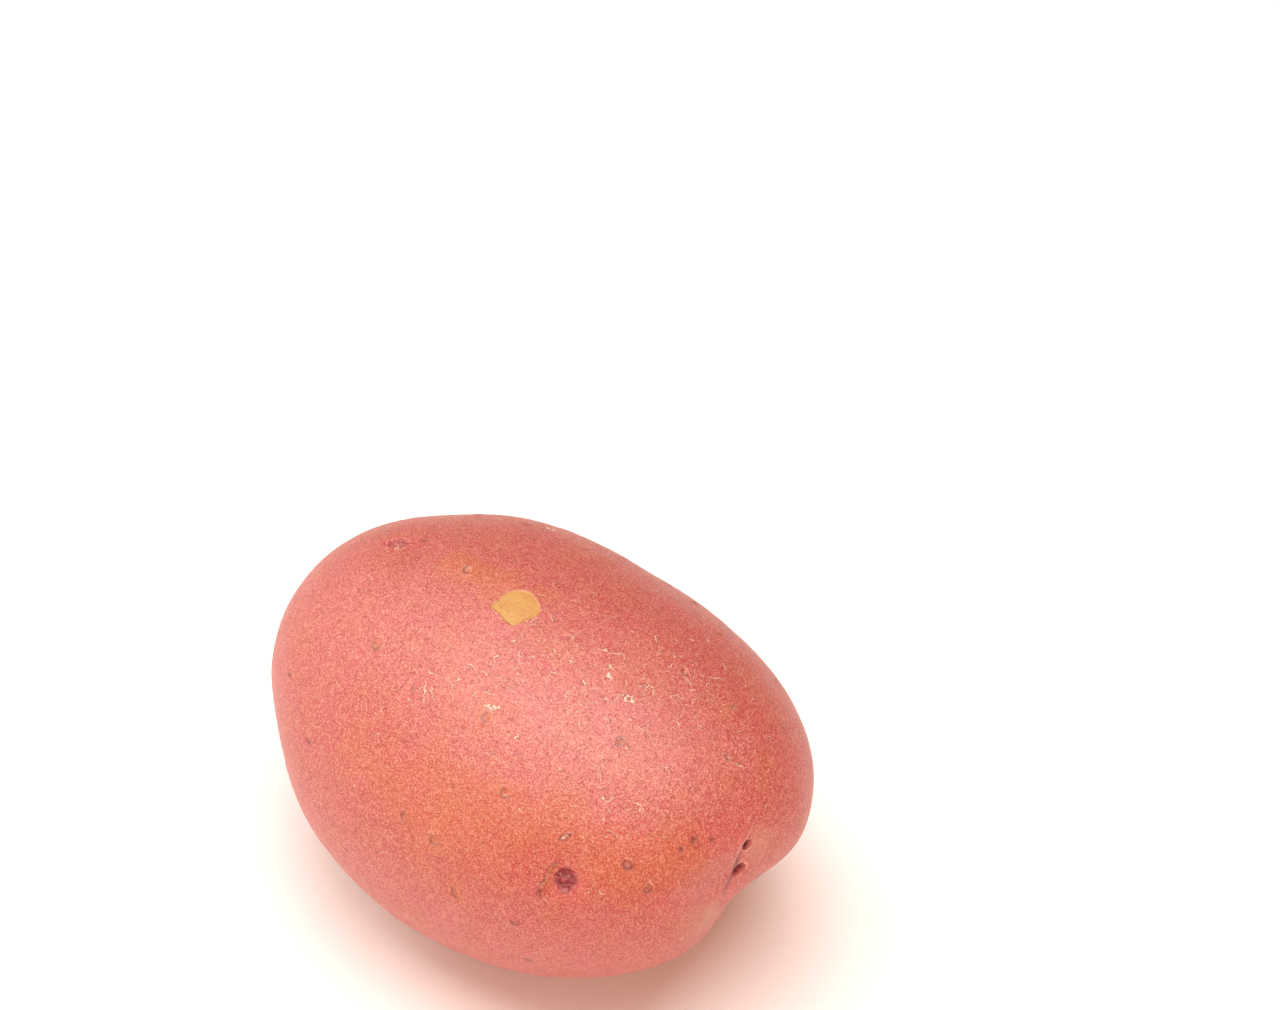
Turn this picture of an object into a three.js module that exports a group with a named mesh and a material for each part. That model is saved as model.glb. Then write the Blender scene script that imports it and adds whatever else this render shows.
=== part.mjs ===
// A red-skinned potato lying on its side: one grown solid, in millimetres, +Z up.
// +X runs to the rose end, where the eyes crowd together, and -X to the heel, where the stolon was.
// Places on the skin are given by two angles: polar, from the rose end (0) to the heel (180), and
// clock, round the long axis from +Y (0) over the top (90) to -Y (180) and the underside (270).
import * as THREE from "three";
import { mergeVertices } from "three/addons/utils/BufferGeometryUtils.js";

// Overall sizes, before the fold and the eyes are sunk and the belly is pressed flat
const LENGTH = 88;
const WIDTH = 66;
const HEIGHT = 58.2;

// The body's form
const FULLNESS = 2.08; // exponent of the superellipsoid: 2 is an ellipsoid, more is blockier
const TAPER = 0.08; // share by which the height shrinks from the middle to the rose end
const ARCH = 5.9; // how far both ends rise above the middle, as the potato curves like a cradle
const ARCH_MEAN = 0.33; // share of the arch taken off everywhere, so the middle drops instead

// The resting spot: this much of the belly is pressed flat
const REST_DEPTH = 0.9;

// Squares along each edge of the cube that the skin's net of facets starts from
const NET = 24;

// The deep fold beside the rose end, a rounded valley between two places on the skin
const FOLD = { from: { polar: 13, clock: 155 }, to: { polar: 11, clock: 265 }, depth: 3.7, width: 8.4 };

// Broad, faint dips that break the form's evenness, and swells, which are dips of negative depth
const UNEVENNESS = [
  { name: "heel shoulder dip", polar: 141, clock: 50, depth: 0.4, along: 13, across: 13 },
  { name: "back swell", polar: 116, clock: 38, depth: -0.6, along: 17, across: 15 },
  { name: "heel flank dip", polar: 145, clock: 180, depth: 0.6, along: 12, across: 12 },
];

// The eyes' hollows. Each is an oval that is wider round the girth (across) than along the length.
const EYES = [
  { name: "fold eye", polar: 13, clock: 127, depth: 0.6, along: 2.6, across: 4.2 },
  { name: "front eye", polar: 50.5, clock: 155, depth: 0.8, along: 5.2, across: 6.4 },
  { name: "heel eye", polar: 133.5, clock: 82, depth: 0.6, along: 3.8, across: 6.4 },
  { name: "back eye", polar: 66, clock: 12, depth: 1.2, along: 4.6, across: 6.6 },
  { name: "far rose eye", polar: 33, clock: 318, depth: 1.2, along: 4.0, across: 5.8 },
  { name: "belly eye", polar: 84, clock: 236, depth: 0.9, along: 4.4, across: 6.2 },
  { name: "far heel eye", polar: 118, clock: 332, depth: 0.9, along: 4.4, across: 6.2 },
];

// The dimple at the heel where the stolon broke away
const STOLON_SCAR = { name: "stolon scar", polar: 168, clock: 300, depth: 1.8, along: 5.0, across: 5.0 };

const TO_ROSE_END = new THREE.Vector3(1, 0, 0);

/** The unit vector to a place on the skin, from the middle of the body. */
function direction({ polar, clock }) {
  const fromRoseEnd = THREE.MathUtils.degToRad(polar);
  const round = THREE.MathUtils.degToRad(clock);
  return new THREE.Vector3(
    Math.cos(fromRoseEnd),
    Math.sin(fromRoseEnd) * Math.cos(round),
    Math.sin(fromRoseEnd) * Math.sin(round),
  );
}

/** Puts a unit vector's point on the smooth body, before any hollow. */
function bodyPoint(unit) {
  const sum = ["x", "y", "z"].reduce((total, k) => total + Math.abs(unit[k]) ** FULLNESS, 0);
  const p = unit.clone().multiplyScalar(sum ** (-1 / FULLNESS));
  const arch = ARCH * (p.x * p.x - ARCH_MEAN);
  return new THREE.Vector3(
    (LENGTH / 2) * p.x,
    (WIDTH / 2) * p.y,
    (HEIGHT / 2) * (1 - TAPER * p.x) * p.z + arch,
  );
}

/** Moves every vertex of a geometry by a function of its position. */
function moveVertices(geometry, moved) {
  const position = geometry.getAttribute("position");
  for (let i = 0; i < position.count; i++) {
    const to = moved(new THREE.Vector3().fromBufferAttribute(position, i));
    position.setXYZ(i, to.x, to.y, to.z);
  }
}

/** A closed net of even facets: a cube's grid, spread by its angles and drawn onto the body. */
function skinNet() {
  const cube = new THREE.BoxGeometry(2, 2, 2, NET, NET, NET);
  cube.deleteAttribute("normal");
  cube.deleteAttribute("uv");
  const net = mergeVertices(cube, 1e-6);
  const even = (share) => Math.tan((share * Math.PI) / 4);
  moveVertices(net, (v) => bodyPoint(new THREE.Vector3(even(v.x), even(v.y), even(v.z)).normalize()));
  return net;
}

/** The point where a place's direction leaves the smooth body. */
function skinPoint(smoothBody, place) {
  const outward = direction(place);
  const start = outward.clone().multiplyScalar(2 * LENGTH);
  const ray = new THREE.Raycaster(start, outward.clone().negate());
  return ray.intersectObject(smoothBody)[0].point;
}

/** Depth of a rounded valley at a point: a bell curve of the distance to the valley's bottom line. */
function foldDepth(point, bottom, { depth, width }) {
  const nearest = bottom.closestPointToPoint(point, true, new THREE.Vector3());
  return depth * Math.exp(-((point.distanceTo(nearest) / width) ** 2));
}

/** Depth of an oval hollow at a point: full at its middle, and level at its rim. */
function hollowDepth(point, centre, { depth, along, across }) {
  const outward = centre.clone().normalize();
  const girth = TO_ROSE_END.clone().cross(outward).normalize();
  const length = outward.clone().cross(girth);
  const offset = point.clone().sub(centre);
  const share = (offset.dot(length) / along) ** 2 + (offset.dot(girth) / across) ** 2;
  return offset.length() < 2 * across && share < 1 ? depth * (1 - share) ** 2 : 0;
}

/** Sinks the fold and every hollow into the body, towards its middle. */
function sinkHollows(net) {
  const smoothBody = new THREE.Mesh(net.clone());
  const bottom = new THREE.Line3(skinPoint(smoothBody, FOLD.from), skinPoint(smoothBody, FOLD.to));
  const hollows = [...UNEVENNESS, ...EYES, STOLON_SCAR];
  const centres = hollows.map((hollow) => skinPoint(smoothBody, hollow));
  moveVertices(net, (v) => {
    const depths = hollows.map((hollow, i) => hollowDepth(v, centres[i], hollow));
    const depth = depths.reduce((total, d) => total + d, foldDepth(v, bottom, FOLD));
    return v.addScaledVector(v.clone().normalize(), -depth);
  });
}

/** Presses the belly flat at height 0, and centres the body over the origin. */
function setDown(net) {
  net.computeBoundingBox();
  const rest = net.boundingBox.min.z + REST_DEPTH;
  moveVertices(net, (v) => v.setZ(Math.max(v.z - rest, 0)));
  net.computeBoundingBox();
  const middle = net.boundingBox.getCenter(new THREE.Vector3());
  net.translate(-middle.x, -middle.y, 0);
}

/** The whole potato as one mesh. */
function potato() {
  const net = skinNet();
  sinkHollows(net);
  setDown(net);
  const mesh = new THREE.Mesh(net, redSkin());
  mesh.name = "potato";
  return mesh;
}

/** Matt, faintly waxy red skin. */
function redSkin() {
  return new THREE.MeshStandardMaterial({ color: 0xc9604f, roughness: 0.55, metalness: 0 });
}

const model = new THREE.Group();
model.add(potato());

export default model;
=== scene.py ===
"""A red-skinned potato lying on its side on a pale table, under soft studio light."""
import logging
import math
import random
from dataclasses import dataclass, field
from enum import Enum
from typing import Any, Sequence

import bmesh
import bpy
import numpy as np
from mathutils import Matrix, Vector, noise
from mathutils.bvhtree import BVHTree


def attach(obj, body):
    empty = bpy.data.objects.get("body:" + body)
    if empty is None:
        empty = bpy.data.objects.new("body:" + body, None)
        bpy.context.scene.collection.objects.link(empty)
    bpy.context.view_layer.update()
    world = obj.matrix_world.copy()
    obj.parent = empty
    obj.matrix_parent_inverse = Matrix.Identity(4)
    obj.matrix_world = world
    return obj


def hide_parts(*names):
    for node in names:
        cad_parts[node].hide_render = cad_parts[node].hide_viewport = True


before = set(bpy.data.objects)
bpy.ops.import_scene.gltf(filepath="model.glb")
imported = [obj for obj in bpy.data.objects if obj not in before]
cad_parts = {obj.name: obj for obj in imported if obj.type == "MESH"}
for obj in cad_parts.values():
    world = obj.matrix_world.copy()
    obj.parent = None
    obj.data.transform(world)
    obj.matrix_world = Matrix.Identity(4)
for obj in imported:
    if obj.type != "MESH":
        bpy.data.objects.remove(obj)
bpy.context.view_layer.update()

log = logging.getLogger("potato")

MM = 0.001
NODE = "potato"
BODY = "root"
FAR = 0.2  # metres: well outside the potato

Colour = tuple[float, float, float, float]


def linear(red: int, green: int, blue: int) -> Colour:
    """Turns a colour on the usual 0 to 255 scale into a shader's linear colour.

    Args:
        red: The red share.
        green: The green share.
        blue: The blue share.

    Returns:
        The colour with its opacity.
    """
    parts = (red / 255, green / 255, blue / 255)
    shares = [part / 12.92 if part <= 0.04045 else ((part + 0.055) / 1.055) ** 2.4 for part in parts]
    return shares[0], shares[1], shares[2], 1.0


# ---------------------------------------------------------------- places on the skin


@dataclass(frozen=True)
class Place:
    """A place on the skin, seen from the potato's heart.

    polar is the angle from the rose end (0) to the heel (180). clock is the angle round the long
    axis, from +Y (0) over the top (90) to -Y (180) and the underside (270).
    """

    polar: float
    clock: float

    def direction(self) -> Vector:
        """Gives the unit vector from the heart to the place.

        Returns:
            The unit vector.
        """
        polar, clock = math.radians(self.polar), math.radians(self.clock)
        ring = math.sin(polar)
        return Vector((math.cos(polar), ring * math.cos(clock), ring * math.sin(clock)))


@dataclass(frozen=True)
class Spot:
    """A place found on the skin, in millimetres, with the skin's own directions there."""

    point: np.ndarray
    out: np.ndarray
    along: np.ndarray
    girth: np.ndarray


class PoreKind(Enum):
    """The ways in which a pore shows on the skin."""

    RING = "a dark ring round a tan cork"
    SLIT = "a pale open lens with a dark edge"
    BLOT = "a soft purple-brown spot"
    CORK = "a tan, slightly sunken crumb"


@dataclass(frozen=True)
class Pore:
    """One pore of the skin, a lenticel: its place, radius in mm, look, stretch and turn."""

    place: Place
    radius: float
    kind: PoreKind = PoreKind.RING
    stretch: float = 1.0
    turn: float = 0.0
    strength: float = 1.0


@dataclass(frozen=True)
class Eye:
    """One eye: a bud in a small pit, with a brow on its heel side and a red flush round it.

    bud holds its half widths along the potato and round the girth. brow is the line that the brow
    follows, in mm along the potato and round the girth from the bud, and turn turns both. brow_pale
    is how pale the brow's edge is: at 0 the eye is a soft red lens, with no line round it.
    """

    place: Place
    bud: tuple[float, float] = (1.5, 1.8)
    bud_depth: float = 0.7
    brow: tuple[tuple[float, float], ...] = (
        (-1.3, -2.2), (-2.3, -1.4), (-2.7, 0.0), (-2.5, 1.0), (-2.9, 2.0), (-2.8, 2.9), (-1.8, 4.6))
    brow_rise: float = 0.26
    brow_pale: float = 0.7
    flush_radius: float = 3.8
    flush: float = 0.9
    turn: float = 0.0


@dataclass(frozen=True)
class Hole:
    """A hole under the fold's lip: its place, its half length along the crease, its half width,
    its depth in mm, how dark the painted shadow inside it is, and which end has a painted
    highlight on its edge."""

    place: Place
    length: float
    width: float
    depth: float
    inner_shadow: float
    side: float


@dataclass(frozen=True)
class Patch:
    """A broad stain of the skin: its place, its two radii in mm and how strong it is."""

    place: Place
    along: float
    girth: float
    strength: float


# ---------------------------------------------------------------- shader maths


class Value:
    """A number in a shader. Python's operators on it add Math nodes."""

    def __init__(self, bench: "Bench", socket: bpy.types.NodeSocket) -> None:
        """Wraps a socket.

        Args:
            bench: The node tree's helper.
            socket: An output that carries a number.
        """
        self.bench = bench
        self.socket = socket

    def _math(self, operation: str, *operands: "Value | float") -> "Value":
        """Adds one Math node.

        Args:
            operation: The node's operation.
            operands: Its numbers or values, in order.

        Returns:
            The node's result.
        """
        node = self.bench.node("ShaderNodeMath", {"operation": operation}, dict(enumerate(operands)))
        return Value(self.bench, node.outputs[0])

    def __add__(self, other: "Value | float") -> "Value":
        """Adds."""
        return self._math("ADD", self, other)

    __radd__ = __add__

    def __mul__(self, other: "Value | float") -> "Value":
        """Multiplies."""
        return self._math("MULTIPLY", self, other)

    __rmul__ = __mul__

    def __sub__(self, other: "Value | float") -> "Value":
        """Subtracts."""
        return self._math("SUBTRACT", self, other)

    def __rsub__(self, other: float) -> "Value":
        """Subtracts this from a number."""
        return self._math("SUBTRACT", other, self)

    def __truediv__(self, other: "Value | float") -> "Value":
        """Divides."""
        return self._math("DIVIDE", self, other)

    def __rtruediv__(self, other: float) -> "Value":
        """Divides a number by this."""
        return self._math("DIVIDE", other, self)

    def largest(self, other: "Value | float") -> "Value":
        """Takes the larger of the two."""
        return self._math("MAXIMUM", self, other)

    def smallest(self, other: "Value | float") -> "Value":
        """Takes the smaller of the two."""
        return self._math("MINIMUM", self, other)

    def step(self, low: float, high: float) -> "Value":
        """Rises smoothly from 0 at low to 1 at high, or falls where high is the smaller.

        Args:
            low: The value that gives 0.
            high: The value that gives 1.

        Returns:
            The stepped value.
        """
        falls = high < low
        node = self.bench.node(
            "ShaderNodeMapRange",
            {"interpolation_type": "SMOOTHSTEP"},
            {"Value": self, "From Min": min(low, high), "From Max": max(low, high),
             "To Min": 1.0 if falls else 0.0, "To Max": 0.0 if falls else 1.0},
        )
        return Value(self.bench, node.outputs["Result"])


class Bench:
    """Puts nodes into one material's tree."""

    def __init__(self, name: str) -> None:
        """Starts an empty material.

        Args:
            name: The material's name.
        """
        self.material = bpy.data.materials.new(name)
        self.material.use_nodes = True
        self.tree = self.material.node_tree
        self.tree.nodes.clear()

    def node(self, kind: str, settings: dict[str, Any] | None = None,
             inputs: dict[str | int, Any] | None = None) -> bpy.types.Node:
        """Adds a node.

        Args:
            kind: The node's type.
            settings: Its properties, set before its sockets are.
            inputs: A number, colour, link or Value for each socket, by name or index.

        Returns:
            The node.
        """
        made = self.tree.nodes.new(kind)
        for name, setting in (settings or {}).items():
            setattr(made, name, setting)
        for key, given in (inputs or {}).items():
            socket = made.inputs[key]
            if isinstance(given, Value):
                given = given.socket
            if isinstance(given, bpy.types.NodeSocket):
                self.tree.links.new(given, socket)
            else:
                socket.default_value = given
        return made

    def colour(self, factor: "Value | float", under: Any, over: Any, blend: str = "MIX") -> Any:
        """Lays one colour over another.

        Args:
            factor: How much of the upper colour shows.
            under: The lower colour, or a link to it.
            over: The upper colour, or a link to it.
            blend: The Mix node's blend type.

        Returns:
            A link to the mixed colour.
        """
        mix = self.node("ShaderNodeMix", {"data_type": "RGBA", "blend_type": blend})
        for index, given in ((0, factor), (6, under), (7, over)):
            if isinstance(given, Value):
                given = given.socket
            if isinstance(given, bpy.types.NodeSocket):
                self.tree.links.new(given, mix.inputs[index])
            else:
                mix.inputs[index].default_value = given
        return mix.outputs[2]

    def vector(self, operation: str, *operands: Any) -> bpy.types.NodeSocket:
        """Adds a Vector Math node.

        Args:
            operation: The node's operation.
            operands: Its vectors, in order.

        Returns:
            A link to the resulting vector.
        """
        node = self.node("ShaderNodeVectorMath", {"operation": operation}, dict(enumerate(operands)))
        return node.outputs[0]

    def dot(self, vector: Any, other: Any) -> Value:
        """Gives the dot product of two vectors."""
        node = self.node("ShaderNodeVectorMath", {"operation": "DOT_PRODUCT"}, {0: vector, 1: other})
        return Value(self, node.outputs["Value"])

    def noise(self, vector: Any, scale: float, detail: float = 2.0, roughness: float = 0.5,
              distortion: float = 0.0) -> Value:
        """Adds a noise pattern.

        Args:
            vector: Where to read it, in millimetres.
            scale: How many lumps it has per millimetre.
            detail: How many finer layers it has.
            roughness: How strong the finer layers are.
            distortion: How much it is warped.

        Returns:
            The pattern, about 0.5 on average.
        """
        node = self.node("ShaderNodeTexNoise", {}, {
            "Vector": vector, "Scale": scale, "Detail": detail,
            "Roughness": roughness, "Distortion": distortion})
        return Value(self, node.outputs[0])

    def red_of(self, colour: Any) -> Value:
        """Takes a colour's red share as a number."""
        return Value(self, self.node("ShaderNodeSeparateColor", {}, {0: colour}).outputs[0])

    def mask(self, name: str) -> Value:
        """Reads one of the piece's own masks."""
        node = self.node("ShaderNodeAttribute", {"attribute_type": "GEOMETRY", "attribute_name": name})
        return Value(self, node.outputs["Fac"])


# ---------------------------------------------------------------- the skin's finish


@dataclass(frozen=True)
class Curls:
    """Short curled flakes of dead skin, each a bent sheet that cuts the surface.

    crowding is how many there could be per millimetre, and half_length and half_width are a flake's
    halves in mm. rarity is the share of them that is missing, and flaky_share is how far that share
    falls where the skin is flaky.
    """

    crowding: float
    half_length: float
    half_width: float
    rarity: float
    flaky_share: float


@dataclass(frozen=True)
class SkinFinish:
    """Thin red potato skin: mottled, russeted in places, finely grained and faintly waxy.

    The patterns' scales are in lumps per millimetre.
    """

    rose: Colour = linear(172, 36, 24)
    brick: Colour = linear(162, 28, 12)
    pink: Colour = linear(174, 44, 46)
    blush: Colour = linear(206, 138, 114)
    russet: Colour = linear(178, 66, 4)
    ochre: Colour = linear(188, 98, 36)
    cream: Colour = linear(242, 208, 182)
    crumb: Colour = linear(166, 88, 56)
    crimson: Colour = linear(134, 24, 26)
    plum: Colour = linear(104, 24, 24)
    flush: Colour = linear(188, 50, 58)
    flesh: Colour = linear(190, 142, 46)
    ash: Colour = linear(178, 112, 90)
    # The painted shadow inside the fold's holes.
    hole_shadow: Colour = linear(22, 8, 7)
    roughness: float = 0.48
    shine: float = 1.0
    wax: float = 0.22
    wax_roughness: float = 0.5
    broad_scale: float = 0.06
    mottle_scale: float = 0.32
    cloud_scale: float = 0.16
    ochre_scale: float = 0.7
    tint_scale: float = 1.1
    pit_scale: float = 1.3
    grain_scale: float = 2.8
    fine_scale: float = 5.0
    crumb_scale: float = 3.0
    bud_scale: float = 1.6
    curls: Curls = Curls(0.5, 0.72, 0.085, 0.985, 0.42)
    small_curls: Curls = Curls(1.2, 0.3, 0.07, 0.985, 0.24)

    def material(self) -> bpy.types.Material:
        """Builds the material.

        Returns:
            The material.
        """
        bench = Bench("red potato skin")
        place = bench.node("ShaderNodeTexCoord").outputs["Object"]
        scaled = bench.node("ShaderNodeVectorMath", {"operation": "SCALE"}, {0: place, "Scale": 1 / MM})
        mm = scaled.outputs[0]
        stain, height = self._stains(bench, mm)
        stain, height, grain = self._grain(bench, mm, stain, height)
        stain, height = self._marks(bench, mm, stain, height)
        stain, height = self._scuff(bench, mm, stain, height)
        dry = bench.mask("cork") * 0.2 + bench.mask("pale") * 0.2
        rough = self.roughness + (grain - 0.5) * 0.25 + dry
        bump = bench.node("ShaderNodeBump", {}, {"Strength": 1.0, "Distance": MM, "Height": height})
        shader = bench.node("ShaderNodeBsdfPrincipled", {}, {
            "Base Color": stain,
            "Roughness": rough,
            "Normal": bump.outputs[0],
            "Specular IOR Level": self.shine,
            "Coat Weight": self.wax,
            "Coat Roughness": self.wax_roughness,
        })
        bench.node("ShaderNodeOutputMaterial", {}, {0: shader.outputs[0]})
        return bench.material

    def _stains(self, bench: Bench, mm: Any) -> tuple[Any, Value]:
        """Lays the broad stains: pink and brick mottling, russet and ochre patches.

        Args:
            bench: The material's helper.
            mm: The position in millimetres.

        Returns:
            The colour so far, and the height so far in millimetres.
        """
        broad = bench.noise(mm, self.broad_scale, 3.0, 0.55)
        middling = bench.noise(mm, self.mottle_scale, 4.0, 0.6, 0.4)
        stain = bench.colour(broad.step(0.38, 0.62), self.rose, self.pink)
        stain = bench.colour(middling.step(0.44, 0.66) * 0.7, stain, self.brick)
        russet = (bench.mask("russet") + (middling - 0.5) * 1.3).step(0.2, 0.75)
        stain = bench.colour(russet * 0.95, stain, self.russet)
        cloud = bench.noise(mm, self.cloud_scale, 4.0, 0.62, 0.3)
        stain = bench.colour(cloud.step(0.46, 0.62) * 0.5, stain, self.russet)
        stain = bench.colour(cloud.step(0.5, 0.34) * 0.3, stain, self.flush)
        ochre = (bench.mask("russet") * bench.noise(mm, self.ochre_scale, 3.0, 0.6)).step(0.35, 0.7)
        stain = bench.colour(ochre * 0.5, stain, self.ochre)
        # The flush mask: the red flush round the eyes, and painted shade on the far side of the fold's
        # crease.
        stain = bench.colour(bench.mask("flush"), stain, self.flush)
        stain = bench.colour(bench.mask("ash") * 0.8, stain, self.ash)
        return stain, (middling - 0.5) * 0.05

    def _grain(self, bench: Bench, mm: Any, stain: Any, height: Value) -> tuple[Any, Value, Value]:
        """Adds the fine grain, the pale and dark specks and the flakes.

        Args:
            bench: The material's helper.
            mm: The position in millimetres.
            stain: The colour so far.
            height: The height so far.

        Returns:
            The colour, the height and the grain itself.
        """
        grain = bench.noise(mm, self.grain_scale, 3.0, 0.72)
        fine = bench.noise(mm, self.fine_scale, 1.0, 0.5)
        granule = grain * 0.5 + fine * 0.5
        tint = bench.noise(mm, self.tint_scale, 3.0, 0.65)
        stain = bench.colour(tint.step(0.5, 0.66) * 0.3, stain, self.blush)
        stain = bench.colour(granule.step(0.46, 0.6) * 0.72, stain, self.blush)
        stain = bench.colour(granule.step(0.5, 0.34) * 0.2, stain, self.brick, "MULTIPLY")
        speck = granule.step(0.62, 0.7)
        stain = bench.colour(speck * 0.45, stain, self.cream)
        pit = bench.noise(mm, self.pit_scale, 2.0, 0.6).step(0.63, 0.7)
        stain = bench.colour(pit * 0.5, stain, self.brick)
        flaky = bench.mask("flaky")
        shadow, curl = self._curls(bench, mm, self.curls, flaky)
        small_shadow, small = self._curls(bench, mm, self.small_curls, flaky)
        shade = (shadow * 0.4 + small_shadow * 0.25).smallest(1.0)
        stain = bench.colour(shade, stain, self.brick, "MULTIPLY")
        flakes = (curl * (0.45 + fine)).largest(small * 0.6).smallest(1.0)
        stain = bench.colour(flakes * 0.85, stain, self.cream)
        height = height + grain * 0.16 + fine * 0.05 + flakes * 0.12 + speck * 0.04 - pit * 0.08
        return stain, height, grain

    @staticmethod
    def _curls(bench: Bench, mm: Any, curls: Curls, flaky: Value) -> tuple[Value, Value]:
        """Scatters curled flakes over the skin.

        Args:
            bench: The material's helper.
            mm: The position in millimetres.
            curls: The flakes' sizes and how rare they are.
            flaky: The mask of the flaky patches.

        Returns:
            The flakes' shadows, and the flakes.
        """
        cell = bench.node("ShaderNodeTexVoronoi", {}, {"Vector": mm, "Scale": curls.crowding})
        middle, own = cell.outputs["Position"], cell.outputs["Color"]
        other = bench.node("ShaderNodeTexWhiteNoise", {}, {"Vector": middle}).outputs["Color"]
        offset = bench.vector("SUBTRACT", mm, middle)
        half = (0.5, 0.5, 0.5)
        lengthwise = bench.vector("NORMALIZE", bench.vector("SUBTRACT", own, half))
        aside = bench.vector("CROSS_PRODUCT", lengthwise, bench.vector("SUBTRACT", other, half))
        sideways = bench.vector("NORMALIZE", aside)
        length = bench.dot(offset, lengthwise) / curls.half_length
        wander = (bench.noise(mm, 0.8 / curls.half_length, 1.0) - 0.5) * curls.half_length * 1.6
        side = bench.dot(offset, sideways) + length * length * curls.half_length * 0.35 + wander
        taper = (1.0 - length * length).largest(0.0).step(0.0, 0.3)
        present = bench.red_of(other) + flaky * curls.flaky_share
        present = present.step(curls.rarity, curls.rarity + 0.02)
        thickness = curls.half_width ** 2
        sheet = (side * side / thickness).step(1.0, 0.25) * taper * present
        behind = side + curls.half_width * 1.6
        shade = (behind * behind / (thickness * 1.6)).step(1.0, 0.2) * taper * present
        return shade, sheet

    def _marks(self, bench: Bench, mm: Any, stain: Any, height: Value) -> tuple[Any, Value]:
        """Colours the pores, buds, brows and holes, which the piece's masks place, with painted shade in
        the fold's crease and holes and a painted highlight on its lip.

        Args:
            bench: The material's helper.
            mm: The position in millimetres.
            stain: The colour so far.
            height: The height so far.

        Returns:
            The colour and the height.
        """
        rough = bench.noise(mm, self.crumb_scale, 2.0, 0.6)
        # Plum for the dark marks of pores and eyes, and for painted shade along the fold's crease.
        stain = bench.colour(bench.mask("dark_marks_and_crease_shade") * 0.85, stain, self.plum)
        cork = bench.mask("cork")
        tan = bench.colour(rough.step(0.45, 0.68), self.crumb, self.blush)
        stain = bench.colour(cork * 0.9, stain, tan)
        bud = bench.mask("bud")
        lumps = bench.noise(mm, self.bud_scale, 2.0, 0.6)
        inside = bench.colour(lumps.step(0.42, 0.66) * 0.6, self.crimson, self.flush)
        stain = bench.colour(bud, stain, inside)
        crumbs = bud * rough.step(0.62, 0.68)
        stain = bench.colour(crumbs * 0.7, stain, self.blush)
        # Painted shadow inside the fold's holes.
        stain = bench.colour(bench.mask("hole"), stain, self.hole_shadow)
        # Cream for pale pores and brows, and for a painted highlight on the fold's lip.
        stain = bench.colour(bench.mask("pale") * rough.step(0.3, 0.5), stain, self.cream)
        return stain, height + rough * (cork * 0.12 + bud * 0.2)

    def _scuff(self, bench: Bench, mm: Any, stain: Any, height: Value) -> tuple[Any, Value]:
        """Rubs the skin through to the flesh in one ragged spot.

        Args:
            bench: The material's helper.
            mm: The position in millimetres.
            stain: The colour so far.
            height: The height so far.

        Returns:
            The colour and the height.
        """
        ragged = bench.mask("scuff") + (bench.noise(mm, 1.2, 3.0, 0.65) - 0.5) * 0.7
        bare = ragged.step(0.44, 0.56)
        lip = ragged.step(0.26, 0.44) - bare
        tone = bench.colour(bench.noise(mm, 0.5, 3.0, 0.6).step(0.4, 0.8) * 0.5, self.flesh, self.ochre)
        frayed = bench.noise(mm, 1.8, 1.0).step(0.42, 0.55)
        stain = bench.colour(lip * frayed * 0.3, stain, self.cream)
        stain = bench.colour(bare * 0.92, stain, tone)
        return stain, height + lip * 0.06


# ---------------------------------------------------------------- the potato


class Sculptor:
    """Moves a mesh's points in millimetres, and paints the masks that its finish reads."""

    # Most masks hold the skin's own marks; the dark marks also hold painted shade along the fold's crease,
    # flush painted shade beside it, pale a painted highlight on the lip, and hole the painted shadow in the
    # holes.
    MASKS = ("dark_marks_and_crease_shade", "cork", "bud", "hole", "pale", "russet", "flush", "ash", "flaky", "scuff")

    def __init__(self, mesh: bpy.types.Mesh) -> None:
        """Reads the mesh.

        Args:
            mesh: The mesh to shape.
        """
        self.mesh = mesh
        count = len(mesh.vertices)
        flat = np.zeros(count * 3, np.float32)
        mesh.vertices.foreach_get("co", flat)
        self.at = flat.reshape(-1, 3).astype(float) / MM
        mesh.vertex_normals.foreach_get("vector", flat)
        self.out = flat.reshape(-1, 3).astype(float)
        self.start = self.at.copy()
        self.masks = {name: np.zeros(count) for name in self.MASKS}

    def near(self, spot: Spot, reach: float) -> tuple[np.ndarray, np.ndarray, np.ndarray]:
        """Finds the points near a spot.

        Args:
            spot: The spot.
            reach: How far from it to look.

        Returns:
            Their indices, and where they lie along the potato and round its girth from the spot.
        """
        offset = self.start - spot.point
        inside = np.nonzero((offset ** 2).sum(1) < reach ** 2)[0]
        offset = offset[inside]
        return inside, offset @ spot.along, offset @ spot.girth

    def raise_skin(self, points: np.ndarray, height: np.ndarray) -> None:
        """Lifts points out of the skin, or sinks them where the height is negative."""
        self.at[points] += self.out[points] * height[:, None]

    def paint(self, name: str, points: np.ndarray, amount: np.ndarray) -> None:
        """Paints a mask, keeping whatever is stronger."""
        self.masks[name][points] = np.maximum(self.masks[name][points], np.clip(amount, 0, 1))

    def rub_out(self, name: str, points: np.ndarray, amount: np.ndarray) -> None:
        """Takes a mask away where something else covers it."""
        self.masks[name][points] *= 1 - amount

    def finish(self) -> None:
        """Writes the points and the masks back to the mesh."""
        self.at[:, 2] = np.maximum(self.at[:, 2], 0.0)
        self.mesh.vertices.foreach_set("co", (self.at * MM).astype(np.float32).ravel())
        for name, amount in self.masks.items():
            layer = self.mesh.attributes.new(name, "FLOAT", "POINT")
            layer.data.foreach_set("value", amount.astype(np.float32))
        self.mesh.update()


def bell(distance: np.ndarray, width: float) -> np.ndarray:
    """Gives a bell curve: 1 at no distance, and next to nothing at twice the width."""
    return np.exp(-((distance / width) ** 2))


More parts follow.
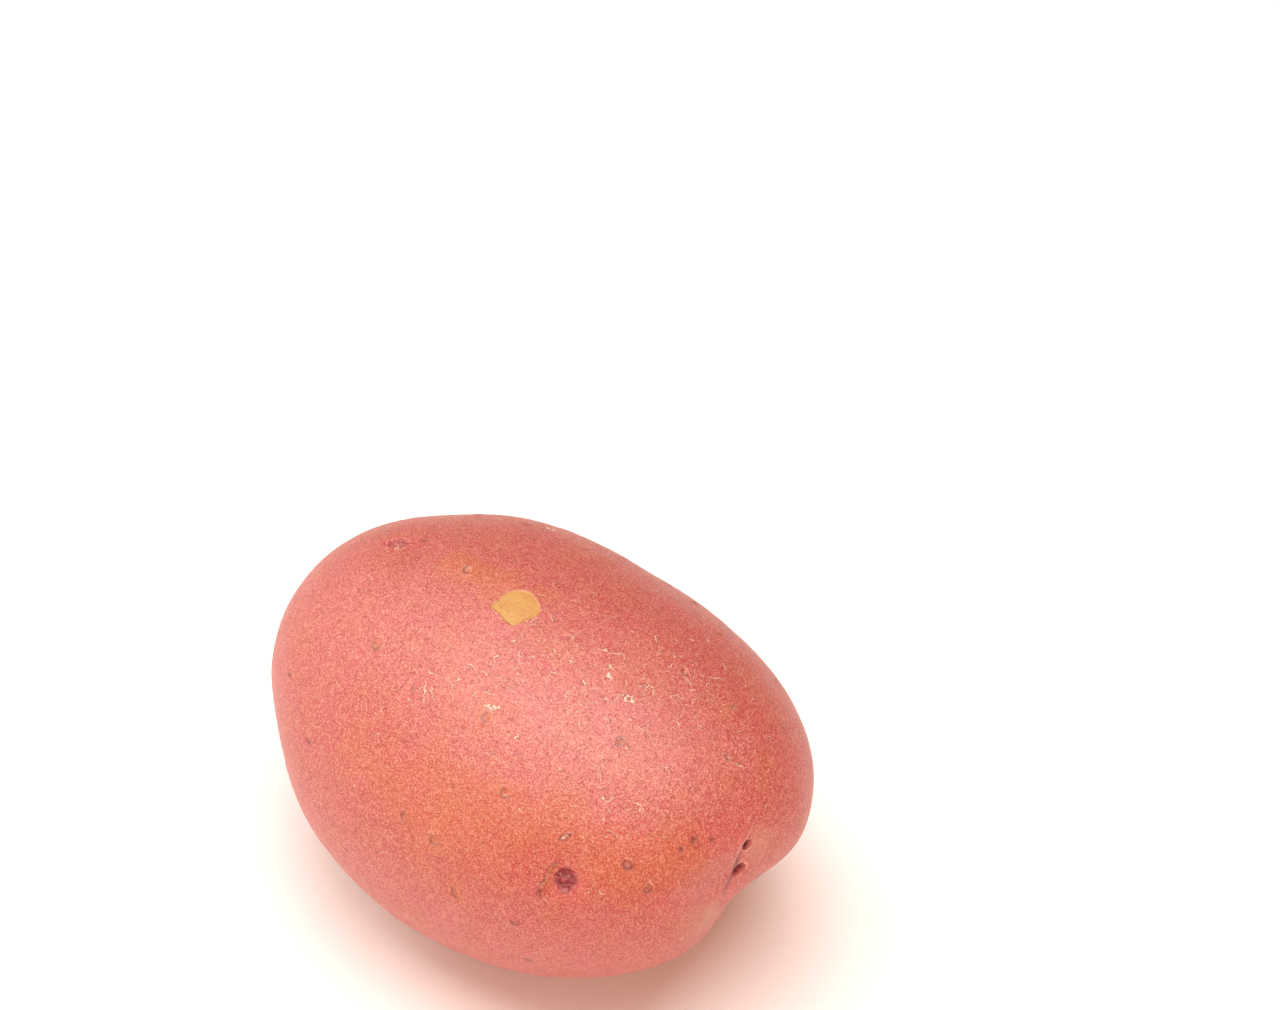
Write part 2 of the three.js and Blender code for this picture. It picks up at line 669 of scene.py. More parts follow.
def fade(value: np.ndarray, low: float, high: float) -> np.ndarray:
    """Rises smoothly from 0 at low to 1 at high, or falls where high is the smaller."""
    share = np.clip((value - low) / (high - low), 0, 1)
    return share * share * (3 - 2 * share)


@dataclass(frozen=True)
class Crease:
    """Measures against the fold's crease: the points near it, how far each lies from it in mm (more
    than 0 on the lip's side), how far along it, from 0 to 1, and the direction to the lip there."""

    points: np.ndarray
    side: np.ndarray
    run: np.ndarray
    to_lip: np.ndarray


@dataclass
class Potato:
    """The whole tuber: its form comes from the CAD solid, and its skin's detail is added here."""

    heart: float = 29.0
    smoothing: int = 2
    seed: int = 7
    lump_height: float = 0.22
    lump_shift: tuple[float, float, float] = (3.1, 8.7, 1.9)
    fold_reach: float = 16.0
    fold_breadth: float = 2.6
    lip_rise: float = 0.3
    lip_lean: float = 0.2
    crease_depth: float = 0.55
    eye_reach: float = 8.0
    scuff: Place = Place(96.7, 88.5)
    scuff_reach: float = 5.5
    scuff_depth: float = 0.12
    crease: tuple[Place, ...] = (
        Place(19.7, 97.5), Place(19.3, 101.1), Place(18.9, 106.3), Place(18.6, 110.4),
        Place(18.5, 114.7), Place(17.0, 120.0), Place(13.7, 133.8), Place(13.3, 140.0),
        Place(12.9, 146.3), Place(12.4, 160.0), Place(12.5, 172.2), Place(14.1, 181.7),
    )
    holes: tuple[Hole, ...] = (
        Hole(Place(15.9, 110.6), 1.0, 0.62, 1.5, 1.0, 1.0),
        Hole(Place(11.2, 130.5), 1.3, 0.8, 1.6, 0.6, -1.0),
    )
    flaky: tuple[Patch, ...] = (
        Patch(Place(101.4, 123.4), 3.0, 3.0, 1.0), Patch(Place(110, 136), 3.0, 2.5, 0.7),
        Patch(Place(86.5, 120.2), 3.0, 2.5, 0.9), Patch(Place(43.3, 77.5), 2.6, 3.4, 0.9),
        Patch(Place(50.5, 107.8), 2.6, 2.6, 0.8), Patch(Place(89.3, 101.7), 2.6, 3.4, 1.0),
        Patch(Place(96.2, 78), 3.0, 2.0, 0.6), Patch(Place(68, 104), 2.6, 2.6, 0.7),
        Patch(Place(45, 78), 9, 9, 0.9), Patch(Place(62, 100), 10, 9, 0.8), Patch(Place(84, 112), 8, 9, 0.9),
        Patch(Place(60, 75), 8, 8, 0.6), Patch(Place(45, 130), 8, 8, 0.5),
        Patch(Place(70, 300), 14, 12, 0.8), Patch(Place(120, 20), 12, 12, 0.8),
    )
    ashen: tuple[Patch, ...] = (
        Patch(Place(15.1, 100.4), 3.2, 2.6, 0.85), Patch(Place(12.3, 109.6), 2.2, 2.6, 0.7),
        Patch(Place(14.3, 181.9), 3.0, 4.0, 0.8), Patch(Place(18.0, 180.2), 5.0, 5.0, 0.6),
    )
    scuff_edge: tuple[tuple[float, float], ...] = (
        (-3.3, 1.9), (-3.2, 0.2), (-3.1, -1.9), (-2.0, -3.3), (-0.1, -4.0), (1.7, -2.9),
        (3.0, -1.8), (3.0, -0.4), (2.1, 1.1), (1.4, 3.0), (0.0, 2.8), (-1.6, 2.2),
    )
    eyes: tuple[Eye, ...] = (
        Eye(Place(49.0, 153.9)),
        Eye(Place(137.2, 82.6), (2.4, 1.15), 0.45, ((-2.4, 0.3), (-0.9, -0.9), (1.0, -0.9)),
            0.1, 0.0, 3.4, 0.7, -32),
        Eye(Place(66, 12)),
        Eye(Place(33, 318), (0.9, 1.2), 0.7, ((-0.6, -3.4), (-1.9, -1.6), (-2.2, 0.4), (-1.6, 3.0))),
        Eye(Place(84, 236), (0.8, 1.1), 0.5,
            ((-1.0, -3.6), (-2.0, -1.2), (-2.1, 0.8), (-1.4, 3.4)), 0.2, 0.4),
        Eye(Place(118, 332), (0.8, 1.2), 0.5,
            ((-0.8, -3.2), (-2.0, -1.6), (-2.2, 0.9), (-1.2, 3.6)), 0.22, 0.6),
    )
    pores: tuple[Pore, ...] = (
        Pore(Place(52.0, 141.4), 0.85, PoreKind.SLIT, 0.48, 129),
        Pore(Place(132.9, 77.9), 0.55, PoreKind.BLOT, 0.8, 150, 1.6),
        Pore(Place(105.3, 125.6), 0.55, PoreKind.RING, 0.6, 60),
        Pore(Place(82.9, 122.5), 0.8, PoreKind.CORK, 0.7, 60),
        Pore(Place(50.3, 108.3), 0.85, PoreKind.RING, 0.8, 80, 0.7),
        Pore(Place(38.2, 69.4), 0.5, PoreKind.RING, 0.8, 30, 0.7),
        Pore(Place(31.8, 87.3), 0.6, PoreKind.RING, 0.9, 0, 0.8),
        Pore(Place(28.5, 123.9), 0.75, PoreKind.BLOT),
        Pore(Place(25.1, 120.1), 0.6, PoreKind.BLOT),
        Pore(Place(29.8, 129.6), 0.7, PoreKind.BLOT, 0.6, 80),
        Pore(Place(38.3, 141.8), 0.75, PoreKind.RING),
        Pore(Place(33.1, 148.5), 0.6, PoreKind.RING),
        Pore(Place(68.7, 137.7), 0.8, PoreKind.CORK, 0.8, 20),
        Pore(Place(73.7, 170.2), 0.9, PoreKind.CORK, 0.6, 70),
        Pore(Place(81.8, 157.9), 0.9, PoreKind.CORK, 0.8, 10),
        Pore(Place(92.1, 156.3), 0.7, PoreKind.CORK, 0.6, 80),
        Pore(Place(140.1, 142.7), 0.7, PoreKind.BLOT, 0.5, 20),
        Pore(Place(126.8, 155.6), 0.8, PoreKind.BLOT, 0.5, 15),
        Pore(Place(108.9, 179.6), 0.7, PoreKind.BLOT, 0.5, 30),
        Pore(Place(58.1, 172.3), 0.7, PoreKind.RING, 0.8, 0, 0.8),
        Pore(Place(116.3, 84.2), 0.8, PoreKind.CORK, 0.8, 50),
        Pore(Place(121.4, 119.7), 0.7, PoreKind.CORK),
        Pore(Place(50.2, 72.5), 0.6, PoreKind.CORK),
        Pore(Place(20.7, 87.6), 0.5, PoreKind.CORK, 0.6, 70),
        Pore(Place(55.6, 189.5), 0.7, PoreKind.BLOT),
        Pore(Place(168, 300), 2.0, PoreKind.CORK, 0.85, 30, 1.7),
    )
    stains: tuple[Patch, ...] = (
        Patch(Place(96.7, 88.5), 6, 6, 0.5),
        Patch(Place(112, 150), 9, 8, 0.45),
        Patch(Place(80, 150), 14, 11, 0.95),
        Patch(Place(55, 138), 9, 7, 0.6),
        Patch(Place(38, 142), 9, 8, 0.75),
        Patch(Place(28, 128), 6, 5, 0.6),
        Patch(Place(114, 84), 9, 5, 0.8),
        Patch(Place(85, 120), 12, 6, 0.5),
        Patch(Place(75, 95), 8, 7, 0.35),
        Patch(Place(60, 20), 12, 12, 0.6),
        Patch(Place(120, 350), 14, 12, 0.7),
        Patch(Place(60, 280), 14, 12, 0.6),
        Patch(Place(140, 220), 14, 14, 0.6),
    )
    rng: random.Random = field(default_factory=random.Random)
    tree: BVHTree | None = None

    def build(self) -> bpy.types.Object:
        """Makes the finished piece.

        Returns:
            The piece, riding on the CAD body and standing for its node.
        """
        self.rng.seed(self.seed)
        piece = self._smooth_copy()
        self.tree = self._snapshot(piece)
        wild = self._wild_pores()
        self._refine(piece, wild)
        sculptor = Sculptor(piece.data)
        self._undulate(sculptor)
        for name, patches in (("russet", self.stains), ("flaky", self.flaky), ("ash", self.ashen)):
            self._stain(sculptor, name, patches)
        self._rub(sculptor)
        self._fold(sculptor)
        for eye in self.eyes:
            self._eye(sculptor, eye)
        for pore in (*self.pores, *wild):
            self._pore(sculptor, pore)
        sculptor.finish()
        piece.data.materials.clear()
        piece.data.materials.append(SkinFinish().material())
        for polygon in piece.data.polygons:
            polygon.use_smooth = True
        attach(piece, BODY)
        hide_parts(NODE)
        return piece

    def spot(self, place: Place) -> Spot:
        """Finds a place on the smooth skin.

        Args:
            place: The place.

        Returns:
            Its point and directions, in millimetres.
        """
        heart = Vector((0, 0, self.heart * MM))
        away = place.direction()
        point, normal, _, _ = self.tree.ray_cast(heart + away * FAR, -away)
        out = Vector(normal).normalized()
        girth = Vector((1, 0, 0)).cross(out).normalized()
        along = out.cross(girth)
        if along.x < 0:
            girth, along = -girth, -along
        return Spot(np.array(point) / MM, np.array(out), np.array(along), np.array(girth))

    def _stain(self, sculptor: Sculptor, name: str, patches: Sequence[Patch]) -> None:
        """Adds broad soft patches to a mask.

        Args:
            sculptor: The mesh being shaped.
            name: The mask's name.
            patches: The patches.
        """
        for patch in patches:
            points, along, girth = sculptor.near(self.spot(patch.place), 2 * max(patch.along, patch.girth))
            reach = np.hypot(along / patch.along, girth / patch.girth)
            sculptor.masks[name][points] += patch.strength * bell(reach, 0.8)

    def _smooth_copy(self) -> bpy.types.Object:
        """Copies the CAD node's mesh, joins its facets and rounds them off.

        Returns:
            The piece, selected and active.
        """
        bpy.ops.object.select_all(action="DESELECT")
        piece = bpy.data.objects.new("potato_skin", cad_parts[NODE].data.copy())
        bpy.context.scene.collection.objects.link(piece)
        bpy.context.view_layer.objects.active = piece
        piece.select_set(True)
        bpy.ops.object.mode_set(mode="EDIT")
        bpy.ops.mesh.select_all(action="SELECT")
        bpy.ops.mesh.remove_doubles(threshold=0.01 * MM)
        even = math.radians(60)
        bpy.ops.mesh.tris_convert_to_quads(face_threshold=even, shape_threshold=even)
        bpy.ops.object.mode_set(mode="OBJECT")
        round_off = piece.modifiers.new("round off", "SUBSURF")
        round_off.levels = round_off.render_levels = self.smoothing
        bpy.ops.object.modifier_apply(modifier=round_off.name)
        return piece

    @staticmethod
    def _snapshot(piece: bpy.types.Object) -> BVHTree:
        """Keeps the smooth skin, to find places on."""
        mesh = piece.data
        return BVHTree.FromPolygons([v.co.copy() for v in mesh.vertices],
                                    [tuple(p.vertices) for p in mesh.polygons])

    def _wild_pores(self) -> list[Pore]:
        """Scatters pores over the sides that the chosen ones leave bare.

        Returns:
            The scattered pores, sparse and small on the side where the chosen ones are.
        """
        tries, spacing = 400, 0.22
        rose_end, underside = 0.85, -0.95
        chosen = [mark.place.direction() for mark in (*self.pores, *self.eyes)]
        wild: list[Pore] = []
        for _ in range(tries):
            away = Vector([self.rng.gauss(0, 1) for _ in range(3)]).normalized()
            clock = math.degrees(math.atan2(away.z, away.y)) % 360
            place = Place(math.degrees(math.acos(away.x)), clock)
            if min((away - other).length for other in chosen) < spacing:
                continue
            if away.x > rose_end or away.z < underside:
                continue
            chosen.append(away)
            kind = self.rng.choice((PoreKind.RING, PoreKind.BLOT, PoreKind.CORK, PoreKind.CORK))
            front = 60 < clock < 200
            radius = self.rng.uniform(0.3, 0.5) if front else self.rng.uniform(0.4, 0.8)
            stretch, turn = self.rng.uniform(0.55, 1), self.rng.uniform(0, 180)
            wild.append(Pore(place, radius, kind, stretch, turn, 0.55 if front else 0.9))
        log.info("scattered %d pores", len(wild))
        return wild

    def _refine(self, piece: bpy.types.Object, wild: Sequence[Pore]) -> None:
        """Gives the skin a finer mesh where the small shapes are, in three rounds of halving.

        Args:
            piece: The potato.
            wild: The scattered pores.
        """
        corners = [self.spot(place).point for place in self.crease]
        halves = [a + (b - a) * t for a, b in zip(corners, corners[1:]) for t in (0, 0.5)]
        crease = [*halves, corners[-1]]
        front_eye, *other_eyes = [self.spot(eye.place).point for eye in self.eyes]
        pores = [(self.spot(pore.place).point, pore.radius) for pore in self.pores]
        scattered = [(self.spot(pore.place).point, pore.radius) for pore in wild]
        scuff = self.spot(self.scuff).point
        slit, _ = pores[0]
        coarse = [(at, 4.0) for at in crease] + [(at, 4.6) for at in (front_eye, *other_eyes, scuff)]
        coarse += [(at, radius * 1.3 + 0.3) for at, radius in pores + scattered]
        middling = [(at, 1.9) for at in crease] + [(at, 2.6) for at in other_eyes]
        middling += [(front_eye, 4.4), (scuff, 4.0)] + [(at, radius * 1.3) for at, radius in pores]
        fine = [(at, 0.7) for at in crease] + [(self.spot(hole.place).point, 1.7) for hole in self.holes]
        fine += [(front_eye, 1.9), (slit, 0.9)]
        for balls in (coarse, middling, fine):
            self._halve(piece, balls)

    @staticmethod
    def _halve(piece: bpy.types.Object, balls: Sequence[tuple[np.ndarray, float]]) -> None:
        """Halves the faces' edges inside some balls.

        Args:
            piece: The potato.
            balls: Each ball's centre and radius in mm.
        """
        bpy.ops.object.mode_set(mode="EDIT")
        bpy.ops.mesh.select_mode(type="FACE")
        bpy.ops.mesh.select_all(action="DESELECT")
        edit = bmesh.from_edit_mesh(piece.data)
        edit.faces.ensure_lookup_table()
        centres = np.array([face.calc_center_median() for face in edit.faces]) / MM
        wanted = np.zeros(len(centres), bool)
        for centre, reach in balls:
            wanted |= ((centres - centre) ** 2).sum(1) < reach ** 2
        for index in np.nonzero(wanted)[0]:
            edit.faces[index].select_set(True)
        bmesh.update_edit_mesh(piece.data)
        bpy.ops.mesh.subdivide(number_cuts=1, ngon=False)
        bpy.ops.object.mode_set(mode="OBJECT")

    def _undulate(self, sculptor: Sculptor) -> None:
        """Adds the faint lumps of a grown thing, but none on the flat spot.

        Args:
            sculptor: What moves and paints the skin.
        """
        shift = Vector(self.lump_shift)
        lumps = np.array([
            noise.noise(Vector(at) / 15 + shift) + 0.35 * noise.noise(Vector(at) / 5 + shift)
            + 0.12 * noise.noise(Vector(at) / 1.8 + shift)
            for at in sculptor.start])
        clear = fade(sculptor.start[:, 2], 0.0, 3.0)
        sculptor.at += sculptor.out * (lumps * clear * self.lump_height)[:, None]

    def _fold(self, sculptor: Sculptor) -> None:
        """Shapes the fold: a lip on the heel side that overhangs a crease, and holes under it.
        It also paints shade in and beside the crease, and a highlight along the lip's edge.

        Args:
            sculptor: What moves and paints the skin.
        """
        crease = self._along_crease(sculptor)
        near, side, run = crease.points, crease.side, crease.run
        open_share = fade(run, 0.0, 0.25) * fade(run, 1.0, 0.8)
        swell = bell(side, self.fold_breadth)
        lip = open_share * (self.lip_rise * swell) * fade(side, -0.08, 0.08)
        floor = open_share * (self.crease_depth * swell) * fade(side, 0.08, -0.08)
        sculptor.raise_skin(near, lip - floor)
        lean = open_share * self.lip_lean * fade(side, 1.6, 0.0) * (side > -0.08)
        sculptor.at[near] -= crease.to_lip * lean[:, None]
        upper, lower = fade(run, 0.55, 0.4), fade(run, 0.42, 0.55) * fade(run, 0.97, 0.85)
        inward = side / (0.3 + 0.7 * open_share)
        below = fade(side, 0.05, -0.05)
        sculptor.paint("ash", near, 0.5 * open_share * fade(side, 0.2, -0.4) * swell * upper)
        # Painted highlight: a pale line along the lip's edge in the upper part of the fold.
        sculptor.paint("pale", near, 0.5 * upper * fade(run, 0.05, 0.15) * bell(side - 0.12, 0.14))
        # Painted shade: dark lines where the lip hides the crease, in the lower and the upper part, and a
        # darker red band (the flush mask) on the crease's far side.
        sculptor.paint("dark_marks_and_crease_shade", near, 0.95 * lower * fade(inward, -1.8, -1.2) * below)
        sculptor.paint("dark_marks_and_crease_shade", near, 0.8 * upper * fade(run, 0.08, 0.25) * fade(inward, -1.1, -0.5) * below)
        sculptor.paint("flush", near, 0.9 * lower * fade(side, -3.6, -1.6) * below)
        # Painted shade: a dark line on the lip's crest, standing for the crease's shadow.
        sculptor.paint("dark_marks_and_crease_shade", near, 0.9 * lower * bell(side - 0.03, 0.13))
        for hole in self.holes:
            self._hole(sculptor, hole, crease)

    def _along_crease(self, sculptor: Sculptor) -> Crease:
        """Measures the points near the fold against its crease.

        Args:
            sculptor: The mesh being shaped.

        Returns:
            The measures.
        """
        spots = [self.spot(place) for place in self.crease]
        line = np.array([spot.point for spot in spots])
        near = np.nonzero(((sculptor.start - line.mean(0)) ** 2).sum(1) < self.fold_reach ** 2)[0]
        at = sculptor.start[near]
        best = np.full(len(near), np.inf)
        side, run = np.zeros(len(near)), np.zeros(len(near))
        across = np.zeros((len(near), 3))
        for index, (a, b) in enumerate(zip(line, line[1:])):
            leg = b - a
            share = np.clip(((at - a) @ leg) / (leg @ leg), 0, 1)
            offset = at - (a + share[:, None] * leg)
            distance = np.linalg.norm(offset, axis=1)
            to_lip = np.cross(leg / np.linalg.norm(leg), spots[index].out)
            if to_lip[0] + to_lip[1] > 0:
                to_lip = -to_lip
            closer = distance < best
            best[closer] = distance[closer]
            side[closer] = np.sign(offset[closer] @ to_lip) * distance[closer]
            run[closer] = (index + share[closer]) / (len(line) - 1)
            across[closer] = to_lip
        return Crease(near, side, run, across)

    def _hole(self, sculptor: Sculptor, hole: Hole, crease: Crease) -> None:
        """Sinks one hole under the fold's lip, and paints a shadow inside it and a highlight on one end of
        its edge.

        Args:
            sculptor: The mesh being shaped.
            hole: The hole.
            crease: The measures along the crease.
        """
        near = crease.points
        at = sculptor.start[near]
        spot = self.spot(hole.place)
        offset = at - spot.point
        to_lip = crease.to_lip[np.argmin((offset ** 2).sum(1))]
        lengthwise = np.cross(spot.out, to_lip)
        length, width = offset @ lengthwise / hole.length, offset @ to_lip / hole.width
        wobble = np.array([noise.noise(Vector(point) * 1.3) for point in at])
        reach = np.sqrt(length ** 2 + width ** 2 + (offset @ spot.out / 4) ** 2) + 0.2 * wobble
        sink = hole.depth * fade(reach, 1.15, 0.6)
        sculptor.raise_skin(near, -sink)
        sculptor.at[near] += to_lip * (0.5 * sink)[:, None]
        for name in ("ash", "pale"):
            sculptor.rub_out(name, near, fade(reach, 1.2, 1.0))
        sculptor.paint("bud", near, fade(reach, 1.12, 0.95))
        # Painted shadow: the hole's dark inside.
        sculptor.paint("hole", near, hole.inner_shadow * fade(reach, 1.0, 0.8) * fade(width, -1.0, -0.2))
        # Painted highlight: a pale edge at one end of the hole, on the lip.
        sculptor.paint("pale", near, 0.5 * bell(reach - 1.25, 0.12) * fade(length * hole.side, -0.3, 0.4))

    def _rub(self, sculptor: Sculptor) -> None:
        """Marks the scuff, and sinks it by the thickness of the skin.

        Args:
            sculptor: What moves and paints the skin.
        """
        points, along, girth = sculptor.near(self.spot(self.scuff), self.scuff_reach)
        corners = np.array(self.scuff_edge)
        inside = np.zeros(len(points), bool)
        distance = np.full(len(points), np.inf)
        for (x0, y0), (x1, y1) in zip(corners, np.roll(corners, -1, 0)):
            dx, dy = x1 - x0, y1 - y0
            crosses = (y0 > girth) != (y1 > girth)
            inside ^= crosses & (along < x0 + (girth - y0) / (dy + 1e-9) * dx)
            share = np.clip(((along - x0) * dx + (girth - y0) * dy) / (dx ** 2 + dy ** 2), 0, 1)
            distance = np.minimum(distance, np.hypot(along - x0 - share * dx, girth - y0 - share * dy))
        depth = np.where(inside, distance, -distance)
        sculptor.paint("scuff", points, fade(depth, -0.7, 0.7))
        worn = self.scuff_depth * fade(depth, -0.1, 0.1)
        sculptor.raise_skin(points, 0.05 * bell(depth + 0.2, 0.2) - worn)

    def _eye(self, sculptor: Sculptor, eye: Eye) -> None:
        """Shapes one eye.

        Args:
            sculptor: The mesh being shaped.
            eye: The eye.
        """
        spot = self.spot(eye.place)
        points, straight, round_it = sculptor.near(spot, self.eye_reach)
        turn = math.radians(eye.turn)
        along = straight * math.cos(turn) + round_it * math.sin(turn)
        girth = round_it * math.cos(turn) - straight * math.sin(turn)
        start = sculptor.start[points]
        lumps = np.array([noise.noise(Vector(at) * 1.5) for at in start])
        crumple = np.array([noise.noise(Vector(at) * 3.2) for at in start])
        reach = np.hypot(along / eye.bud[0], girth / eye.bud[1]) + 0.22 * lumps
        knob = 0.55 * bell(reach, 0.45) + 0.25 * crumple * fade(reach, 1.1, 0.7)
        sculptor.raise_skin(points, eye.bud_depth * (knob - fade(reach, 1.2, 0.5)))
        if eye.brow_pale:
            sculptor.paint("bud", points, fade(reach, 1.15, 0.9))
        else:
            sculptor.paint("flush", points, fade(reach, 1.6, 0.9))
            sculptor.paint("bud", points, 0.75 * fade(reach, 1.15, 0.75) * fade(lumps, -0.6, 0.1))
        border = bell(reach - 1.05, 0.16) * fade(along, -0.6, 0.4)
        sculptor.paint("dark_marks_and_crease_shade", points, 0.7 * eye.brow_pale * border)
        gap, run = self._off_line(eye.brow, along + 0.25 * lumps, girth)
        length = fade(run, 0.0, 0.2) * fade(run, 1.0, 0.8)
        brow = bell(np.minimum(gap, 0), 1.5) * fade(gap, 0.1, -0.1)
        hollow = bell(np.maximum(gap, 0), 1.3) * fade(gap, -0.1, 0.1)
        sculptor.raise_skin(points, eye.brow_rise * length * (brow - 0.8 * hollow))
        edge = bell(gap - 0.03, 0.08) * fade(run, 0.05, 0.15) * fade(run, 0.72, 0.66)
        under = fade(run, 0.0, 0.1) * fade(run, 1.0, 0.75) * bell(gap + 0.16, 0.16)
        sculptor.paint("pale", points, eye.brow_pale * edge)
        sculptor.paint("dark_marks_and_crease_shade", points, eye.brow_pale * under)
        sculptor.paint("dark_marks_and_crease_shade", points, eye.brow_pale * bell(gap + 0.1, 0.34) * bell(run - 0.74, 0.05))
        shelf = length * fade(gap, -0.1, 0.2) * fade(reach, 1.0, 1.3) * fade(gap, 2.6, 1.4)
        sculptor.masks["russet"][points] += 0.75 * eye.brow_pale * shelf
        centre = np.hypot(along - 0.9, girth - 0.4)
        blush = bell(centre, eye.flush_radius * 0.75) * fade(gap, 0.9, 2.0)
        sculptor.paint("flush", points, eye.flush * blush)

    @staticmethod
    def _off_line(line: Sequence[tuple[float, float]], along: np.ndarray,
                  girth: np.ndarray) -> tuple[np.ndarray, np.ndarray]:
        """Measures points against a line on the skin.

        Args:
            line: The line's corners.
            along: The points' first coordinate.
            girth: Their second.

        Returns:
            How far each lies from the line, less than 0 on the heel side, and how far along the
            line, from 0 to 1.
        """
        corners = np.array(line)
        at = np.stack([along, girth], 1)
        legs = corners[1:] - corners[:-1]
        lengths = np.linalg.norm(legs, axis=1)
        starts = np.concatenate([[0], np.cumsum(lengths)])
        best = np.full(len(at), np.inf)
        gap, run = np.zeros(len(at)), np.zeros(len(at))
        for corner, leg, length, start in zip(corners, legs, lengths, starts):
            offset = at - corner
            share = np.clip(offset @ leg / length ** 2, 0, 1)
            distance = np.linalg.norm(offset - share[:, None] * leg, axis=1)
            closer = distance < best
            side = np.sign(offset[:, 0] * leg[1] - offset[:, 1] * leg[0])
            best[closer] = distance[closer]
            gap[closer] = (side * distance)[closer]
            run[closer] = ((start + share * length) / starts[-1])[closer]
        return gap, run

    def _pore(self, sculptor: Sculptor, pore: Pore) -> None:
        """Shapes one pore.

        Args:
            sculptor: The mesh being shaped.
            pore: The pore.
        """
        spot = self.spot(pore.place)
        points, along, girth = sculptor.near(spot, 3.4 * pore.radius + 0.4)
        turn = math.radians(pore.turn)
        long_way = (along * math.cos(turn) + girth * math.sin(turn)) / pore.radius
        short_way = (girth * math.cos(turn) - along * math.sin(turn)) / (pore.radius * pore.stretch)
        crumple = np.array([noise.noise(Vector(at) * 1.1 / pore.radius) for at in sculptor.start[points]])
        reach = np.hypot(long_way, short_way) + 0.35 * crumple
        strength = pore.strength
        if pore.kind is PoreKind.SLIT:
            reach = np.abs(long_way) ** 1.3 + np.abs(short_way) ** 1.6
            sculptor.raise_skin(points, 0.1 * bell(reach - 1.0, 0.3) - 0.22 * fade(reach, 0.9, 0.3))
            sculptor.paint("dark_marks_and_crease_shade", points, fade(reach, 1.5, 0.95))
            sculptor.paint("pale", points, 0.8 * fade(reach, 0.75, 0.5))
            sculptor.rub_out("dark_marks_and_crease_shade", points, fade(reach, 0.8, 0.55))
        elif pore.kind is PoreKind.RING:
            sculptor.raise_skin(points, 0.09 * bell(reach - 0.95, 0.35) - 0.14 * fade(reach, 0.8, 0.2))
            edge = bell(reach - 0.8, 0.28) * fade(short_way, -1.6, 0.2)
            sculptor.paint("dark_marks_and_crease_shade", points, strength * 0.95 * edge)
            sculptor.paint("cork", points, strength * 0.8 * fade(reach, 0.75, 0.35))
        elif pore.kind is PoreKind.BLOT:
            sculptor.raise_skin(points, -0.14 * bell(reach, 0.8))
            sculptor.paint("dark_marks_and_crease_shade", points, strength * 0.95 * bell(reach, 0.75))
        else:
            sculptor.raise_skin(points, 0.1 * bell(reach - 1.1, 0.4) - 0.2 * bell(reach, 0.7))
            sculptor.paint("cork", points, strength * 0.5 * bell(reach, 0.6))
            edge = bell(reach - 0.95, 0.32) * fade(short_way, -1.0, 0.6)
            sculptor.paint("dark_marks_and_crease_shade", points, strength * 0.8 * edge)
            sculptor.masks["russet"][points] += 0.9 * strength * bell(reach, 1.8)


# ---------------------------------------------------------------- table, light and camera


@dataclass
class Table:
    """A plain, pale, matt table top."""

    half_size: float = 3.0
    white: Colour = (0.93, 0.93, 0.93, 1.0)

    def build(self) -> bpy.types.Object:
        """Makes the table top.

        Returns:
            The table.
        """
        bpy.ops.object.select_all(action="DESELECT")
        bpy.ops.mesh.primitive_plane_add(size=2 * self.half_size, location=(0, 0, 0))
        top = bpy.context.object
        top.name = "table"
        bench = Bench("pale table")
        shader = bench.node("ShaderNodeBsdfPrincipled", {}, {
            "Base Color": self.white, "Roughness": 0.8, "Specular IOR Level": 0.2})
        bench.node("ShaderNodeOutputMaterial", {}, {0: shader.outputs[0]})
        top.data.materials.append(bench.material)
        return top


DAYLIGHT = (1.0, 0.97, 0.93)
WARM = (1.0, 0.57, 0.41)
AIM = Vector((0, 0, 0.03))


@dataclass(frozen=True)
class Panel:
    """One square panel of light that faces the potato."""

    name: str
    place: Vector
    size: float
    watts: float
    colour: tuple[float, float, float] = DAYLIGHT
    shines: bool = True
    lights: bool = True

    def build(self) -> None:
        """Hangs the panel.

        One that doesn't shine lights the skin but makes no highlight on it, and one that doesn't
        light makes only the highlight.
        """
        light = bpy.data.lights.new(self.name, "AREA")
        light.shape = "SQUARE"
        light.size = self.size
        light.energy = self.watts
        light.color = self.colour
        lamp = bpy.data.objects.new(self.name, light)
        lamp.location = self.place
        lamp.rotation_euler = (self.place - AIM).to_track_quat("Z", "Y").to_euler()
        lamp.visible_glossy = self.shines
        lamp.visible_diffuse = self.lights
        bpy.context.scene.collection.objects.link(lamp)


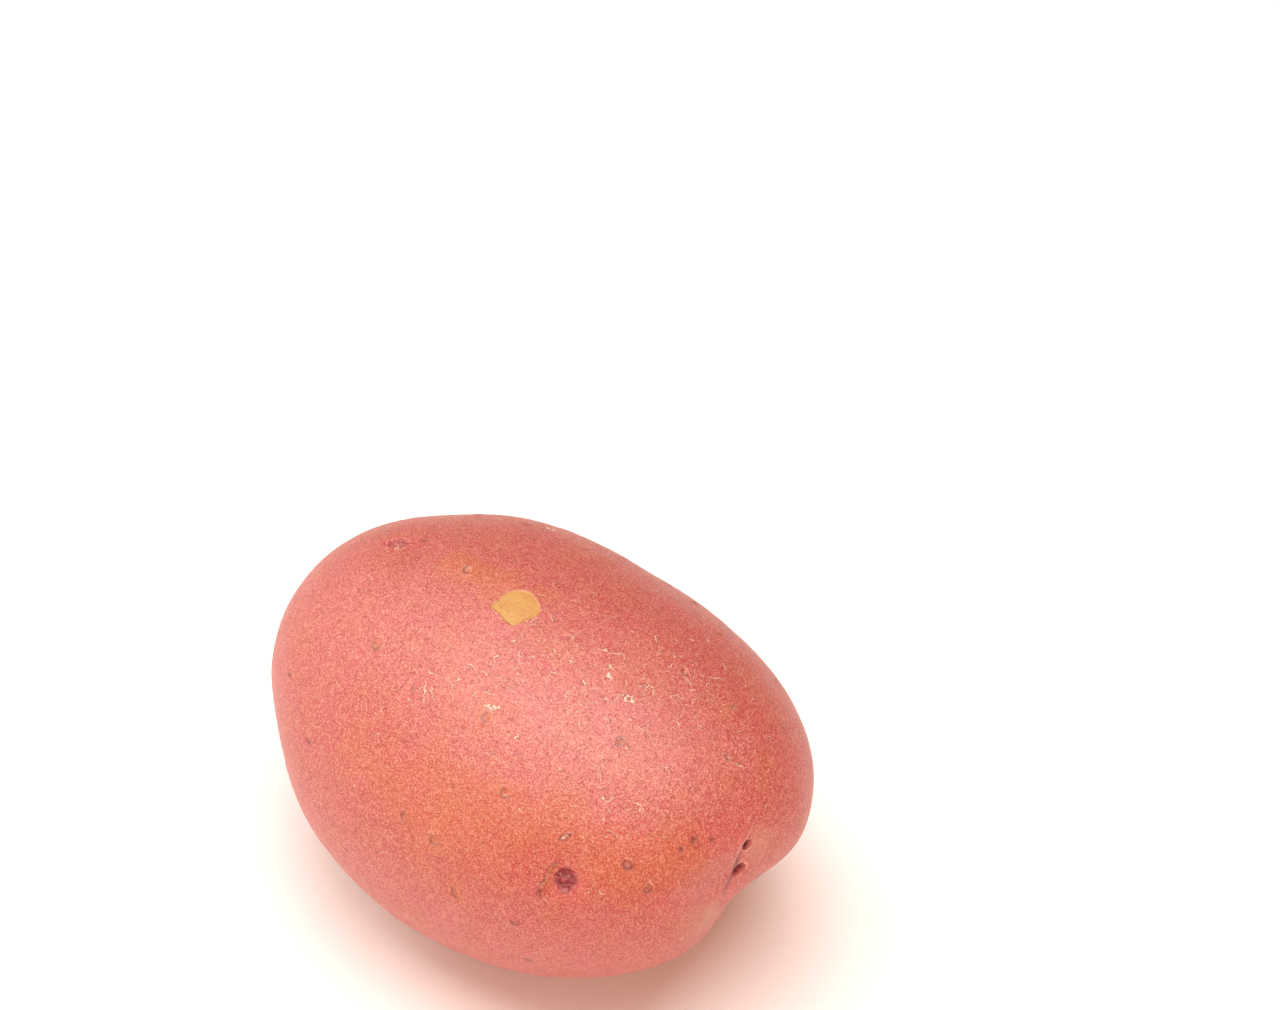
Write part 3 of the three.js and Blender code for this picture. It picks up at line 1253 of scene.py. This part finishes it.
@dataclass
class Studio:
    """Soft light from above and the left, warm fills, and a dim warm surround."""

    surround: float = 0.25
    surround_colour: Colour = (1.0, 0.6, 0.42, 1.0)
    panels: tuple[Panel, ...] = (
        Panel("overhead", Vector((0.02, 0.0, 0.88)), 0.74, 9.1),
        Panel("sheen", Vector((0.03, 0.0, 0.88)), 0.5, 4.0, lights=False),
        Panel("left", Vector((-0.74, -0.04, 0.48)), 0.5, 3.0),
        Panel("low left", Vector((-0.62, -0.62, 0.16)), 0.7, 3.2),
        Panel("front fill", Vector((0.20, -0.85, 0.26)), 0.6, 3.3, WARM, shines=False),
        Panel("right fill", Vector((0.90, 0.10, 0.40)), 0.6, 3.6, WARM, shines=False),
    )

    def build(self) -> None:
        """Puts up the lights."""
        world = bpy.data.worlds.new("warm surround")
        bpy.context.scene.world = world
        world.use_nodes = True
        world.cycles_visibility.glossy = False
        background = world.node_tree.nodes["Background"]
        background.inputs["Color"].default_value = self.surround_colour
        background.inputs["Strength"].default_value = self.surround
        for panel in self.panels:
            panel.build()
        settings = bpy.context.scene.view_settings
        settings.view_transform = "Standard"
        settings.look = "None"
        settings.exposure = 0.0
        settings.gamma = 1.0


@dataclass
class Viewpoint:
    """The camera: from the rose end's left, well above the table."""

    place: tuple[float, float, float] = (0.18196, -0.22674, 0.38250)
    azimuth: float = 35.674
    elevation: float = 46.0
    width_of_view: float = 24.0

    def build(self) -> bpy.types.Object:
        """Sets the camera up.

        Returns:
            The camera.
        """
        lens = bpy.data.cameras.new("camera")
        lens.sensor_width = 36.0
        lens.lens = 18.0 / math.tan(math.radians(self.width_of_view / 2))
        lens.clip_start = 0.01
        camera = bpy.data.objects.new("camera", lens)
        camera.location = self.place
        camera.rotation_euler = (math.radians(90 - self.elevation), 0, math.radians(self.azimuth))
        bpy.context.scene.collection.objects.link(camera)
        bpy.context.scene.camera = camera
        return camera


def main() -> None:
    """Builds the scene in order and reports each piece."""
    logging.basicConfig(level=logging.INFO, format="%(name)s: %(message)s")
    Viewpoint().build()
    Studio().build()
    Table().build()
    piece = Potato().build()
    triangles = sum(len(polygon.vertices) - 2 for polygon in piece.data.polygons)
    log.info("%s: %d points, %d triangles", piece.name, len(piece.data.vertices), triangles)


if __name__ == "__main__":
    main()
